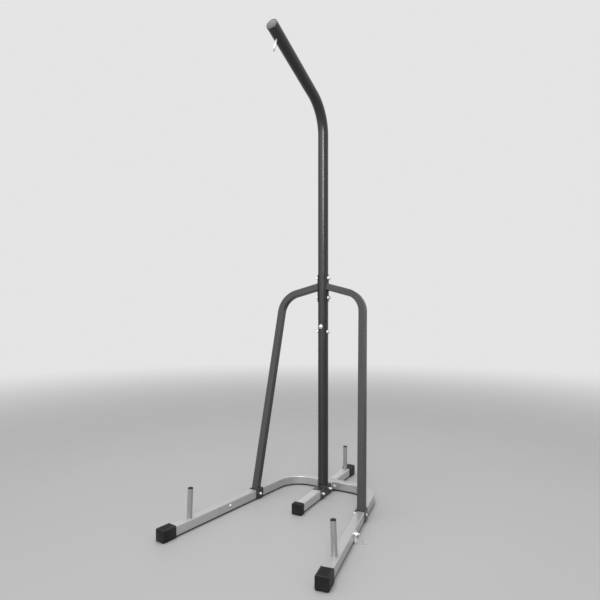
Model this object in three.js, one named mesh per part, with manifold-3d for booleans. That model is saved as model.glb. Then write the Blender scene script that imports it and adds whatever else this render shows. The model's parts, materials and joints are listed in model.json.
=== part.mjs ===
// Free-standing single-station stand for a heavy bag.
// Millimetres, +Z up, front (the open side of the base) towards -Y.
// The origin is on the floor, in the middle of the stand's footprint.
import * as THREE from 'three';
import { mergeVertices } from 'three/addons/utils/BufferGeometryUtils.js';
import Module from 'manifold-3d';

const wasm = await Module();
wasm.setup();

// ---------------------------------------------------------------- driving dimensions
const GAP = 0.3;                    // clearance between touching pieces

const BASE_TUBE = 40;               // square tube of the base, side
const BASE_WALL = 2;
const BASE_CORNER = 4;              // outside corner radius of the square tube
const CAP_WALL = 4.7;               // rubber end caps
const CAP_FLOOR = 5;                // thickness of a cap across the tube's end
const LEG_CAP_LENGTH = 63;
const NOSE_CAP_LENGTH = 28;

const SPLAY = THREE.MathUtils.degToRad(8);   // each leg opens outwards to the front
const LEG_HALF_SPACING = 246;       // leg axis from the centre plane, level with the mast
const BOW_BEHIND_MAST = 95;         // axis of the rear bow behind the mast axis
const BOW_RADIUS = 135;             // bend radius of the bow, at the tube's axis
const BOW_STEPS = 8;                // facets along one bend
const LEG_REACH = 755;              // front end of the legs, ahead of the mast axis
const NOSE_REACH = 279;             // front end of the nose tube, ahead of the mast axis
const TAIL_REACH = 363;             // rear end of the tail tube, behind the mast axis

const PEG_DIAMETER = 22;
const PEG_WALL = 2;
const PEG_TOP = 172;                // height of a plate peg's top above the floor
const PEG_AHEAD = 605;              // front pegs, ahead of the mast axis
const PEG_BEHIND = 282;             // rear peg, behind the mast axis
const PEG_LEAN = THREE.MathUtils.degToRad(2.5);   // front pegs lean towards each other
const PEG_PLUG = { head: 3, stem: 14, bevel: 1.2 };

const MAST_DIAMETER = 50.8;
const MAST_WALL = 2;
const MAST_SEAM = 860.5;            // height where the upper mast stands on the lower one
const SLEEVE_LENGTH = 180;          // joining sleeve inside both mast tubes
const SLEEVE_BELOW_SEAM = 110;
const SLEEVE_WALL = 2.5;
const FRONT_BOLT_BELOW_SEAM = 25;
const SIDE_BOLT_BELOW_SEAM = 51;
const BOOM_RISE = THREE.MathUtils.degToRad(19.6);
const BOOM_CORNER_HEIGHT = 1904;    // where the boom's axis would meet the mast's axis
const BOOM_BEND_RADIUS = 170;
const BOOM_STEPS = 10;
const BOOM_REACH = 486;             // end of the boom's axis ahead of the mast axis
const BOOM_PLUG = { stem: 18, rim: 2.5, shoulder: 4, crown: 5, bevel: 1.5 };

const STRUT_TUBE = 32;              // square tube of the side supports
const STRUT_WALL = 2;
const STRUT_CORNER = 2.5;
const STRUT_BEND_RADIUS = 105;
const STRUT_STEPS = 7;
const STRUT_FOOT_AHEAD = 187;       // foot of a support, ahead of the mast axis
const STRUT_FOOT_HALF_SPACING = 274;
const STRUT_SHOULDER = { side: 215, ahead: 16, height: 981.5 };
const STRUT_HEAD_HEIGHT = 1031;     // where the support's axis meets its clamp plate

const PLATE_THICKNESS = 3;          // clamp plates, curved round both sides of the mast
const PLATE_HALF_ANGLE = THREE.MathUtils.degToRad(50);
const PLATE_BOTTOM = 958;
const PLATE_TOP = 1093;
const PLATE_BOLT_HEIGHTS = [978, 1075];

const SHEET = 3;                    // sheet of the saddles, flange and floor brackets
const CHEEK_ABOVE_FLOOR = 2;
const LEG_SADDLE = { ahead: STRUT_FOOT_AHEAD, length: 48 };
const MAST_SADDLE = { ahead: 12, length: 114, boltSpacing: 80 };
const FLANGE = { width: 80, height: 34, boltSpacing: 60 };

const ANCHOR_AHEAD = 386;           // floor brackets, ahead of the mast axis
const ANCHOR_WIDTH = 34;
const ANCHOR_FOOT = 50;
const ANCHOR_BOLT_HEIGHT = 30;
const ANCHOR_WEB_TOP = 41;
const ANCHOR_HOLE_RADIUS = 4.5;
const ANCHOR_HOLE_OUT = 33;         // screw hole's centre, out from the leg
const ANCHOR_CORNER = 7;

const BOLT = { radius: 4, hole: 4.3 };
const BASE_HEAD = { radius: 7, height: 4.5 };       // round heads of the base's bolts
const MAST_HEAD = { radius: 9.5, height: 6 };       // round heads of the mast's bolts
const BASE_TAIL = 3;                // thread past the nut
const MAST_TAIL = 1;
const ANCHOR_TAIL = 7;
const CURVED_WASHER_RADIUS = 10.5;  // washers hollowed to the mast, under its bolts' heads
const MAST_WASHER = 3;              // their thickness in the middle, on the mast
const PLATE_WASHER = 5;             // and on the clamp plates
const NUT = { acrossFlats: 13, height: 7 };

const EYE_FROM_TIP = 47;            // eye bolt's axis behind the boom's end
const EYE = {
  shank: 4, drop: 65, ringRadius: 9.5, wire: 3.25,
  turn: THREE.MathUtils.degToRad(-35),   // ring's plane, turned about the shank from the mast
  hole: 6,                          // its holes through the boom are wider than the shank
  washerRadius: 11, washer: 2,
};

// ---------------------------------------------------------------- derived places
const TUBE_BOTTOM = GAP + CAP_WALL;
const TUBE_AXIS = TUBE_BOTTOM + BASE_TUBE / 2;
const TUBE_TOP = TUBE_BOTTOM + BASE_TUBE;
const CAP_OUTSIDE = BASE_TUBE + 2 * (GAP + CAP_WALL);
const FRONT_EDGE = LEG_REACH + (CAP_OUTSIDE / 2) * Math.sin(SPLAY);
const MAST_Y = (FRONT_EDGE - TAIL_REACH) / 2;          // mast axis from the origin
const BOW_Y = MAST_Y + BOW_BEHIND_MAST;
const SADDLE_TOP = TUBE_TOP + GAP + SHEET;
const MAST_RADIUS = MAST_DIAMETER / 2;
const PLATE_OUTSIDE = MAST_RADIUS + GAP + PLATE_THICKNESS;
const BOOM_END_HEIGHT = BOOM_CORNER_HEIGHT + BOOM_REACH * Math.tan(BOOM_RISE);
const NUT_RADIUS = NUT.acrossFlats / Math.sqrt(3);

const X_AXIS = new THREE.Vector3(1, 0, 0);
const Y_AXIS = new THREE.Vector3(0, 1, 0);
const Z_AXIS = new THREE.Vector3(0, 0, 1);

// A point of the leg's axis; side is -1 for the left leg and +1 for the right one.
function onLeg(side, y) {
  const x = LEG_HALF_SPACING + (MAST_Y - y) * Math.tan(SPLAY);
  return new THREE.Vector3(side * x, y, TUBE_AXIS);
}

// The sideways direction across a leg, pointing away from the centre plane.
const acrossLeg = (side) => new THREE.Vector3(side * Math.cos(SPLAY), Math.sin(SPLAY), 0);

// ---------------------------------------------------------------- materials
const paint = (color, roughness, metalness) =>
  new THREE.MeshStandardMaterial({ color, roughness, metalness });
const silverPaint = paint(0xa9abad, 0.45, 0.3);
const blackPaint = paint(0x2b2c2e, 0.35, 0.1);
const rubber = paint(0x1d1d1e, 0.8, 0);
const greyPlastic = paint(0x77797b, 0.6, 0);
const zinc = paint(0xd2d3d5, 0.3, 0.9);

// ---------------------------------------------------------------- solids
function solidOf(geometry) {
  const bare = geometry.clone();
  bare.deleteAttribute('normal');
  bare.deleteAttribute('uv');
  const merged = mergeVertices(bare, 1e-3);
  return new wasm.Manifold(new wasm.Mesh({
    numProp: 3,
    vertProperties: new Float32Array(merged.attributes.position.array),
    triVerts: new Uint32Array(merged.index.array),
  }));
}

function geometryOf(solid) {
  const mesh = solid.getMesh();
  const geometry = new THREE.BufferGeometry();
  geometry.setAttribute('position', new THREE.BufferAttribute(mesh.vertProperties, 3));
  geometry.setIndex(new THREE.BufferAttribute(mesh.triVerts, 1));
  geometry.computeVertexNormals();
  return geometry;
}

function cut(geometry, tools) {
  const left = tools.reduce((body, tool) => body.subtract(solidOf(tool)), solidOf(geometry));
  return geometryOf(left);
}

function join(first, second) {
  return geometryOf(solidOf(first).add(solidOf(second)));
}

// A box by its lowest and highest corners.
function boxBetween(low, high) {
  const size = high.map((value, i) => value - low[i]);
  const middle = high.map((value, i) => (value + low[i]) / 2);
  return new THREE.BoxGeometry(...size).translate(...middle);
}

// Turns and moves a geometry made along +Z so that it lies along a direction from a point.
function placeAlong(geometry, point, direction) {
  const turn = new THREE.Quaternion().setFromUnitVectors(Z_AXIS, direction.clone().normalize());
  return geometry.applyQuaternion(turn).translate(point.x, point.y, point.z);
}

// A solid turned about +Z from the radius and height of each point of its profile.
function turned(profile, segments) {
  const outline = profile.map(([radius, height]) => new THREE.Vector2(radius, height));
  return new THREE.LatheGeometry(outline, segments).rotateX(Math.PI / 2);
}

// ---------------------------------------------------------------- sections and bent tubes
function roundedSquare(Kind, side, radius) {
  const half = side / 2;
  const inner = half - radius;
  const outline = new Kind();
  outline.absarc(inner, inner, radius, 0, Math.PI / 2);
  outline.absarc(-inner, inner, radius, Math.PI / 2, Math.PI);
  outline.absarc(-inner, -inner, radius, Math.PI, 1.5 * Math.PI);
  outline.absarc(inner, -inner, radius, 1.5 * Math.PI, 2 * Math.PI);
  outline.closePath();
  return outline;
}

function squareSection(side, wall, corner) {
  const shape = roundedSquare(THREE.Shape, side, corner);
  shape.holes.push(roundedSquare(THREE.Path, side - 2 * wall, corner - wall));
  return { shape, curveSegments: 1 };
}

function roundSection(diameter, wall) {
  const shape = new THREE.Shape().absarc(0, 0, diameter / 2, 0, 2 * Math.PI);
  shape.holes.push(new THREE.Path().absarc(0, 0, diameter / 2 - wall, 0, 2 * Math.PI));
  return { shape, curveSegments: 14 };
}

// Straight runs joined by true arcs, in the XY plane. Only the arcs are stepped.
class BentPath extends THREE.Curve {
  constructor(corners, radius, arcSteps) {
    super();
    this.stations = [];
    corners.forEach((corner, i) => {
      const back = i > 0 && corners[i - 1].clone().sub(corner).normalize();
      const ahead = i < corners.length - 1 && corners[i + 1].clone().sub(corner).normalize();
      if (!back) this.stations.push({ point: corner, tangent: ahead });
      else if (!ahead) this.stations.push({ point: corner, tangent: back.negate() });
      else this.addArc(corner, back, ahead, radius, arcSteps);
    });
  }

  addArc(corner, back, ahead, radius, arcSteps) {
    const half = back.angleTo(ahead) / 2;
    const bisector = back.clone().add(ahead).normalize();
    const centre = corner.clone().addScaledVector(bisector, radius / Math.sin(half));
    const start = corner.clone().addScaledVector(back, radius / Math.tan(half)).sub(centre);
    const forward = back.clone().negate();
    const turn = Math.PI - 2 * half;
    for (let k = 0; k <= arcSteps; k++) {
      const angle = (turn * k) / arcSteps;
      const cos = Math.cos(angle);
      const sin = Math.sin(angle);
      const point = centre.clone().addScaledVector(start, cos).addScaledVector(forward, radius * sin);
      const tangent = forward.clone().multiplyScalar(cos).addScaledVector(start, -sin / radius);
      this.stations.push({ point, tangent });
    }
  }

  station(u) {
    return this.stations[Math.round(u * (this.stations.length - 1))];
  }

  getPoint(u, target = new THREE.Vector3()) {
    return target.copy(this.station(u).point);
  }

  getPointAt(u, target) {
    return this.getPoint(u, target);
  }

  getTangent(u, target = new THREE.Vector3()) {
    return target.copy(this.station(u).tangent);
  }

  getTangentAt(u, target) {
    return this.getTangent(u, target);
  }
}

// A tube bent in one plane: the path is laid out in the XY plane, then moved by the frame.
function bentTube(section, corners, radius, arcSteps, frame) {
  const path = new BentPath(corners, radius, arcSteps);
  const steps = path.stations.length - 1;
  const geometry = new THREE.ExtrudeGeometry(section.shape, {
    curveSegments: section.curveSegments, steps, extrudePath: path, bevelEnabled: false,
  });
  return geometry.applyMatrix4(frame);
}

// A straight tube or bar from a point, along a direction. The section's x stays level.
function straightTube(section, point, direction, length) {
  const geometry = new THREE.ExtrudeGeometry(section.shape, {
    curveSegments: section.curveSegments, depth: length, bevelEnabled: false,
  });
  const forward = direction.clone().normalize();
  const level = Math.abs(forward.z) > 0.99 ? X_AXIS : Z_AXIS.clone().cross(forward).normalize();
  const basis = new THREE.Matrix4().makeBasis(level, forward.clone().cross(level), forward);
  return geometry.applyMatrix4(basis.setPosition(point));
}

// ---------------------------------------------------------------- the assembly
const stand = new THREE.Group();

function addNode(name, geometry, material) {
  const mesh = new THREE.Mesh(geometry, material);
  mesh.name = name;
  stand.add(mesh);
  return mesh;
}

// ---------------------------------------------------------------- through bolts
// Each bolt runs from its domed head to a hexagonal lock nut, through a clamped thickness.
function boltGeometry(grip, head, tail) {
  const end = grip + 2 * GAP + NUT.height + tail;
  const domeRadius = (head.radius ** 2 + head.height ** 2) / (2 * head.height);
  const domeAngle = Math.asin(head.radius / domeRadius);
  const dome = [0, 0.45, 0.8, 1].map((share) => [
    domeRadius * Math.sin(share * domeAngle),
    domeRadius * (1 - Math.cos(share * domeAngle)) - head.height,
  ]);
  return turned([
    ...dome, [BOLT.radius, 0], [BOLT.radius, end - 1], [BOLT.radius - 1, end], [0, end],
  ], 12);
}

function nutGeometry() {
  const hexagon = new THREE.Shape();
  for (let k = 0; k < 6; k++) {
    const angle = (k * Math.PI) / 3;
    const corner = [NUT_RADIUS * Math.cos(angle), NUT_RADIUS * Math.sin(angle)];
    if (k === 0) hexagon.moveTo(...corner);
    else hexagon.lineTo(...corner);
  }
  hexagon.closePath();
  hexagon.holes.push(new THREE.Path().absarc(0, 0, BOLT.hole, 0, 2 * Math.PI));
  return new THREE.ExtrudeGeometry(hexagon, {
    curveSegments: 5, depth: NUT.height, bevelEnabled: false,
  });
}

// seat is where the head bears; the bolt points along direction through the grip.
function addBolt(name, seat, direction, grip, head = BASE_HEAD, tail = BASE_TAIL) {
  const along = direction.clone().normalize();
  const headSeat = seat.clone().addScaledVector(along, -GAP);
  const nutSeat = seat.clone().addScaledVector(along, grip + GAP);
  addNode(`${name}_bolt`, placeAlong(boltGeometry(grip, head, tail), headSeat, along), zinc);
  addNode(`${name}_nut`, placeAlong(nutGeometry(), nutSeat, along), zinc);
}

// A bolt across the mast: its head sits on a washer that is hollowed to the round surface.
function addCrossBolt(name, height, direction, surfaceRadius, thickness) {
  const onAxis = new THREE.Vector3(0, MAST_Y, height);
  const inner = surfaceRadius + GAP;
  const reach = inner + thickness;
  const start = onAxis.clone().addScaledVector(direction, -reach);
  const disc = placeAlong(new THREE.CylinderGeometry(
    CURVED_WASHER_RADIUS, CURVED_WASHER_RADIUS, reach, 20,
  ).rotateX(Math.PI / 2).translate(0, 0, reach / 2), start, direction);
  const hollow = new THREE.CylinderGeometry(inner, inner, 3 * CURVED_WASHER_RADIUS, 48)
    .rotateX(Math.PI / 2).translate(onAxis.x, onAxis.y, onAxis.z);
  addNode(`${name}_washer`, cut(disc, [hollow, drill(onAxis, direction, 3 * reach)]), zinc);
  addBolt(name, start, direction, reach + surfaceRadius, MAST_HEAD, MAST_TAIL);
}

// The drill for a through hole: a cylinder centred on a point.
function drill(point, direction, length, radius = BOLT.hole) {
  const geometry = new THREE.CylinderGeometry(radius, radius, length, 12).rotateX(Math.PI / 2);
  return placeAlong(geometry, point, direction);
}

// ---------------------------------------------------------------- base tubes
const baseSection = squareSection(BASE_TUBE, BASE_WALL, BASE_CORNER);

function legEnd(side) {
  return onLeg(side, MAST_Y - LEG_REACH + CAP_FLOOR + GAP);
}

const saddlePoint = (side) => onLeg(side, MAST_Y - LEG_SADDLE.ahead);
const anchorPoint = (side) => onLeg(side, MAST_Y - ANCHOR_AHEAD).setZ(ANCHOR_BOLT_HEIGHT);
const flangePoint = (side) =>
  new THREE.Vector3((side * FLANGE.boltSpacing) / 2, BOW_Y, TUBE_AXIS);

function addBaseFrame() {
  const corners = [legEnd(-1), onLeg(-1, BOW_Y), onLeg(1, BOW_Y), legEnd(1)];
  corners.forEach((corner) => corner.setZ(0));
  const frame = new THREE.Matrix4().makeTranslation(0, 0, TUBE_AXIS);
  const tube = bentTube(baseSection, corners, BOW_RADIUS, BOW_STEPS, frame);
  const across = 2 * BASE_TUBE;
  const drills = [-1, 1].flatMap((side) => [
    drill(saddlePoint(side), acrossLeg(side), across),
    drill(anchorPoint(side), acrossLeg(side), across),
    drill(flangePoint(side), Y_AXIS, across),
  ]);
  addNode('base_frame', cut(tube, drills), silverPaint);
}

const mastSaddleBoltYs = [-1, 1].map((end) =>
  MAST_Y - MAST_SADDLE.ahead + (end * MAST_SADDLE.boltSpacing) / 2);

function addCentreTubes() {
  const flangeFace = BOW_Y - BASE_TUBE / 2 - GAP;
  const noseBack = flangeFace - SHEET - GAP;
  const noseFront = MAST_Y - NOSE_REACH + CAP_FLOOR + GAP;
  const noseStart = new THREE.Vector3(0, noseFront, TUBE_AXIS);
  const nose = straightTube(baseSection, noseStart, Y_AXIS, noseBack - noseFront);
  const drills = mastSaddleBoltYs.map((y) =>
    drill(new THREE.Vector3(0, y, TUBE_AXIS), X_AXIS, 2 * BASE_TUBE));
  addNode('nose_tube', cut(nose, drills), silverPaint);

  const plate = boxBetween(
    [-FLANGE.width / 2, flangeFace - SHEET, TUBE_AXIS - FLANGE.height / 2],
    [FLANGE.width / 2, flangeFace, TUBE_AXIS + FLANGE.height / 2],
  );
  const flangeDrills = [-1, 1].map((side) => drill(flangePoint(side), Y_AXIS, 3 * BASE_TUBE));
  addNode('nose_flange', cut(plate, flangeDrills), silverPaint);
  [-1, 1].forEach((side) => {
    const seat = flangePoint(side).setY(BOW_Y + BASE_TUBE / 2);
    addBolt(`flange_${sideName(side)}`, seat, Y_AXIS.clone().negate(), BASE_TUBE + SHEET + GAP);
  });

  const tailFront = BOW_Y + BASE_TUBE / 2 + GAP;
  const tailBack = MAST_Y + TAIL_REACH - CAP_FLOOR - GAP;
  const tailStart = new THREE.Vector3(0, tailFront, TUBE_AXIS);
  const tail = straightTube(baseSection, tailStart, Y_AXIS, tailBack - tailFront);
  addNode('tail_tube', tail, silverPaint);
}

function sideName(side) {
  return side < 0 ? 'left' : 'right';
}

// A rubber cap: a square cup pushed over the end of a tube.
function capGeometry(length) {
  const outside = roundedSquare(THREE.Shape, CAP_OUTSIDE, BASE_CORNER + CAP_WALL / 2);
  const body = new THREE.ExtrudeGeometry(outside, {
    curveSegments: 1, depth: length, bevelEnabled: false,
  });
  const inside = roundedSquare(THREE.Shape, BASE_TUBE + 2 * GAP, BASE_CORNER);
  const hollow = new THREE.ExtrudeGeometry(inside, {
    curveSegments: 1, depth: length, bevelEnabled: false,
  });
  return cut(body, [hollow.translate(0, 0, CAP_FLOOR)]);
}

// end is the middle of the cap's outer face, inwards points along the tube.
function addCap(name, end, inwards, length) {
  const level = Z_AXIS.clone().cross(inwards).normalize();
  const basis = new THREE.Matrix4().makeBasis(level, inwards.clone().cross(level), inwards);
  addNode(name, capGeometry(length).applyMatrix4(basis.setPosition(end)), rubber);
}

function addCaps() {
  [-1, 1].forEach((side) => {
    const inwards = onLeg(side, 0).sub(onLeg(side, -1)).normalize();
    const end = onLeg(side, MAST_Y - LEG_REACH);
    addCap(`cap_leg_${sideName(side)}`, end, inwards, LEG_CAP_LENGTH);
  });
  const nose = new THREE.Vector3(0, MAST_Y - NOSE_REACH, TUBE_AXIS);
  addCap('cap_nose', nose, Y_AXIS, NOSE_CAP_LENGTH);
  const tail = new THREE.Vector3(0, MAST_Y + TAIL_REACH, TUBE_AXIS);
  addCap('cap_tail', tail, Y_AXIS.clone().negate(), LEG_CAP_LENGTH);
}

// ---------------------------------------------------------------- weight plate pegs
// A round tube with a plastic plug in its top, standing on the base tube.
function addPeg(name, foot, lean) {
  const radius = PEG_DIAMETER / 2;
  const length = (PEG_TOP - PEG_PLUG.head - GAP - foot.z) / Math.cos(lean);
  const overrun = radius;
  const tube = new THREE.ExtrudeGeometry(
    roundSection(PEG_DIAMETER, PEG_WALL).shape,
    { curveSegments: 8, depth: length + overrun, bevelEnabled: false },
  ).translate(0, 0, -overrun).rotateY(lean);
  const reach = 4 * PEG_DIAMETER;
  const footCut = boxBetween([-reach, -reach, -reach], [reach, reach, GAP]);
  addNode(name, cut(tube, [footCut]), silverPaint).position.copy(foot);

  const stemRadius = radius - PEG_WALL - GAP;
  const seat = length + GAP;
  const top = seat + PEG_PLUG.head;
  const stemEnd = seat - PEG_PLUG.stem;
  const plug = turned([
    [0, stemEnd], [stemRadius, stemEnd], [stemRadius, seat], [radius, seat],
    [radius, top - PEG_PLUG.bevel], [radius - PEG_PLUG.bevel, top], [0, top],
  ], 16);
  addNode(`${name}_plug`, plug.rotateY(lean), rubber).position.copy(foot);
}

function addPegs() {
  [-1, 1].forEach((side) => {
    const foot = onLeg(side, MAST_Y - PEG_AHEAD).setZ(TUBE_TOP);
    addPeg(`peg_${sideName(side)}`, foot, -side * PEG_LEAN);
  });
  addPeg('peg_tail', new THREE.Vector3(0, MAST_Y + PEG_BEHIND, TUBE_TOP), 0);
}

// ---------------------------------------------------------------- saddles
// A channel turned over a base tube. Its bolts run from cheek to cheek; their heads are on
// the left cheek (-1) or on the right one (+1).
function addSaddle(name, middle, turn, length, boltOffsets, headSide) {
  const inside = BASE_TUBE / 2 + GAP;
  const outside = inside + SHEET;
  const bottom = CHEEK_ABOVE_FLOOR;
  const profile = new THREE.Shape();
  [[-outside, bottom], [-outside, SADDLE_TOP], [outside, SADDLE_TOP], [outside, bottom],
    [inside, bottom], [inside, TUBE_TOP + GAP], [-inside, TUBE_TOP + GAP], [-inside, bottom]]
    .forEach(([x, z], i) => (i ? profile.lineTo(x, z) : profile.moveTo(x, z)));
  profile.closePath();
  const channel = new THREE.ExtrudeGeometry(profile, { depth: length, bevelEnabled: false })
    .rotateX(Math.PI / 2).translate(0, length / 2, 0);
  const drills = boltOffsets.map((y) =>
    drill(new THREE.Vector3(0, y, TUBE_AXIS), X_AXIS, 3 * BASE_TUBE));
  const toPlace = new THREE.Matrix4().makeRotationZ(turn).setPosition(middle.x, middle.y, 0);
  addNode(name, cut(channel, drills).applyMatrix4(toPlace), blackPaint);
  boltOffsets.forEach((y, i) => {
    const seat = new THREE.Vector3(headSide * outside, y, TUBE_AXIS).applyMatrix4(toPlace);
    const direction = new THREE.Vector3(-headSide, 0, 0).applyAxisAngle(Z_AXIS, turn);
    const label = boltOffsets.length > 1 ? `${name}_${i ? 'rear' : 'front'}` : name;
    addBolt(label, seat, direction, 2 * outside);
  });
}

function addSaddles() {
  [-1, 1].forEach((side) => {
    const point = saddlePoint(side);
    addSaddle(`saddle_${sideName(side)}`, point, side * SPLAY, LEG_SADDLE.length, [0], side);
  });
  const offset = MAST_SADDLE.boltSpacing / 2;
  const middle = new THREE.Vector3(0, MAST_Y - MAST_SADDLE.ahead, 0);
  addSaddle('saddle_mast', middle, 0, MAST_SADDLE.length, [-offset, offset], -1);
}

// ---------------------------------------------------------------- mast
function addMast() {
  const section = roundSection(MAST_DIAMETER, MAST_WALL);
  const foot = new THREE.Vector3(0, MAST_Y, SADDLE_TOP + GAP);
  const onAxis = (height) => new THREE.Vector3(0, MAST_Y, height);
  const frontBolt = onAxis(MAST_SEAM - FRONT_BOLT_BELOW_SEAM);
  const sideBolt = onAxis(MAST_SEAM - SIDE_BOLT_BELOW_SEAM);
  const crossDrills = () => [
    drill(frontBolt, Y_AXIS, 2 * MAST_DIAMETER), drill(sideBolt, X_AXIS, 2 * MAST_DIAMETER)];

  const lower = straightTube(section, foot, Z_AXIS, MAST_SEAM - foot.z);
  addNode('mast_lower', cut(lower, crossDrills()), blackPaint);

  const sleeveSection = roundSection(MAST_DIAMETER - 2 * (MAST_WALL + GAP), SLEEVE_WALL);
  const sleeveFoot = onAxis(MAST_SEAM - SLEEVE_BELOW_SEAM);
  const sleeve = straightTube(sleeveSection, sleeveFoot, Z_AXIS, SLEEVE_LENGTH);
  addNode('mast_sleeve', cut(sleeve, crossDrills()), zinc);

  const leftwards = X_AXIS.clone().negate();
  addCrossBolt('mast_front', frontBolt.z, Y_AXIS, MAST_RADIUS, MAST_WASHER);
  addCrossBolt('mast_side', sideBolt.z, leftwards, MAST_RADIUS, MAST_WASHER);

  // The bend lies in the plane x = 0: the path's x runs forwards and its y upwards.
  const bendFrame = new THREE.Matrix4()
    .makeBasis(Y_AXIS.clone().negate(), Z_AXIS, X_AXIS.clone().negate())
    .setPosition(0, MAST_Y, 0);
  const corners = [
    new THREE.Vector3(0, MAST_SEAM + GAP, 0),
    new THREE.Vector3(0, BOOM_CORNER_HEIGHT, 0),
    new THREE.Vector3(BOOM_REACH, BOOM_END_HEIGHT, 0),
  ];
  const upper = bentTube(section, corners, BOOM_BEND_RADIUS, BOOM_STEPS, bendFrame);
  const drills = PLATE_BOLT_HEIGHTS.map((height) =>
    drill(onAxis(height), X_AXIS, 2 * MAST_DIAMETER));
  drills.push(drill(eyeOnAxis(), eyeDown(), 2 * MAST_DIAMETER, EYE.hole));
  addNode('mast_upper', cut(upper, drills), blackPaint);
}

const boomDirection = () => new THREE.Vector3(0, -Math.cos(BOOM_RISE), Math.sin(BOOM_RISE));
const boomEnd = () => new THREE.Vector3(0, MAST_Y - BOOM_REACH, BOOM_END_HEIGHT);
const eyeOnAxis = () => boomEnd().addScaledVector(boomDirection(), -EYE_FROM_TIP);
const eyeDown = () => new THREE.Vector3(0, -Math.sin(BOOM_RISE), -Math.cos(BOOM_RISE));

// A push-in plug with a rounded rim closes the end of the boom.
function addBoomPlug() {
  const stemRadius = MAST_RADIUS - MAST_WALL - GAP;
  const plug = turned([
    [0, -BOOM_PLUG.stem], [stemRadius, -BOOM_PLUG.stem], [stemRadius, GAP],
    [MAST_RADIUS, GAP], [MAST_RADIUS, BOOM_PLUG.rim],
    [MAST_RADIUS - BOOM_PLUG.bevel, BOOM_PLUG.shoulder], [0, BOOM_PLUG.crown],
  ], 28);
  addNode('boom_plug', placeAlong(plug, boomEnd(), boomDirection()), greyPlastic);
}

// The eye bolt hangs through the boom, with a washer and a lock nut on top.
function addEyeBolt() {
  const ringCentre = MAST_RADIUS + EYE.drop - EYE.ringRadius - EYE.wire;
  const nutSeat = MAST_RADIUS + EYE.washer + 2 * GAP;
  const shankTop = -(nutSeat + NUT.height + BASE_TAIL);
  const shankEnd = ringCentre - EYE.ringRadius;
  const shank = turned([
    [0, shankTop], [EYE.shank - 1, shankTop], [EYE.shank, shankTop + 1],
    [EYE.shank, shankEnd - 1], [EYE.shank - 1, shankEnd], [0, shankEnd],
  ], 12);
  const ring = new THREE.TorusGeometry(EYE.ringRadius, EYE.wire, 8, 20)
    .rotateY(Math.PI / 2).rotateZ(EYE.turn).translate(0, 0, ringCentre);
  addNode('eye_bolt', placeAlong(join(shank, ring), eyeOnAxis(), eyeDown()), zinc);

  const disc = new THREE.Shape().absarc(0, 0, EYE.washerRadius, 0, 2 * Math.PI);
  disc.holes.push(new THREE.Path().absarc(0, 0, BOLT.hole, 0, 2 * Math.PI));
  const washerGeometry = new THREE.ExtrudeGeometry(disc, {
    curveSegments: 6, depth: EYE.washer, bevelEnabled: false,
  });
  const up = eyeDown().negate();
  const above = (distance) => eyeOnAxis().addScaledVector(up, distance);
  addNode('eye_washer', placeAlong(washerGeometry, above(MAST_RADIUS + GAP), up), zinc);
  addNode('eye_nut', placeAlong(nutGeometry(), above(nutSeat), up), zinc);
}

// ---------------------------------------------------------------- side supports
function addStrut(side) {
  const { side: shoulderX, ahead, height } = STRUT_SHOULDER;
  const headRadius = PLATE_OUTSIDE + GAP;
  const foot = new THREE.Vector3(
    side * STRUT_FOOT_HALF_SPACING, MAST_Y - STRUT_FOOT_AHEAD, SADDLE_TOP);
  const shoulder = new THREE.Vector3(side * shoulderX, MAST_Y - ahead, height);
  const head = new THREE.Vector3(side * headRadius, MAST_Y, STRUT_HEAD_HEIGHT);

  const down = foot.clone().sub(shoulder).normalize();
  const inwards = head.clone().sub(shoulder).normalize();
  const normal = down.clone().cross(inwards).normalize();
  const frame = new THREE.Matrix4().makeBasis(down, normal.clone().cross(down), normal)
    .setPosition(shoulder);
  const toPlane = frame.clone().invert();
  const overrun = STRUT_TUBE;
  const corners = [
    foot.clone().addScaledVector(down, overrun), shoulder,
    head.clone().addScaledVector(inwards, overrun),
  ].map((corner) => corner.clone().applyMatrix4(toPlane));
  const section = squareSection(STRUT_TUBE, STRUT_WALL, STRUT_CORNER);
  const tube = bentTube(section, corners, STRUT_BEND_RADIUS, STRUT_STEPS, frame);

  // The foot is cut level on its saddle, and the head is hollowed to fit the curved plate.
  const far = 2 * overrun;
  const below = boxBetween(
    [foot.x - far, foot.y - far, foot.z - 3 * far], [foot.x + far, foot.y + far, foot.z + GAP]);
  const round = new THREE.CylinderGeometry(headRadius, headRadius, 3 * far, 36)
    .rotateX(Math.PI / 2).translate(0, MAST_Y, head.z);
  addNode(`support_${sideName(side)}`, cut(tube, [below, round]), blackPaint);
}

// A clamp plate is part of a cylinder round the mast, with two bolt holes.
function addClampPlate(side) {
  const middle = side > 0 ? 0 : Math.PI;
  const [from, to] = [middle - PLATE_HALF_ANGLE, middle + PLATE_HALF_ANGLE];
  const outline = new THREE.Shape();
  outline.absarc(0, 0, PLATE_OUTSIDE, from, to);
  outline.absarc(0, 0, MAST_RADIUS + GAP, to, from, true);
  outline.closePath();
  const plate = new THREE.ExtrudeGeometry(outline, {
    curveSegments: 5, depth: PLATE_TOP - PLATE_BOTTOM, bevelEnabled: false,
  }).translate(0, MAST_Y, PLATE_BOTTOM);
  const drills = PLATE_BOLT_HEIGHTS.map((height) =>
    drill(new THREE.Vector3(0, MAST_Y, height), X_AXIS, 3 * MAST_DIAMETER));
  addNode(`clamp_plate_${sideName(side)}`, cut(plate, drills), blackPaint);
}

function addStruts() {
  [-1, 1].forEach((side) => {
    addStrut(side);
    addClampPlate(side);
  });
  PLATE_BOLT_HEIGHTS.forEach((height, i) => {
    const name = `clamp_${i ? 'upper' : 'lower'}`;
    addCrossBolt(name, height, X_AXIS.clone().negate(), PLATE_OUTSIDE, PLATE_WASHER);
  });
}

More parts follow.
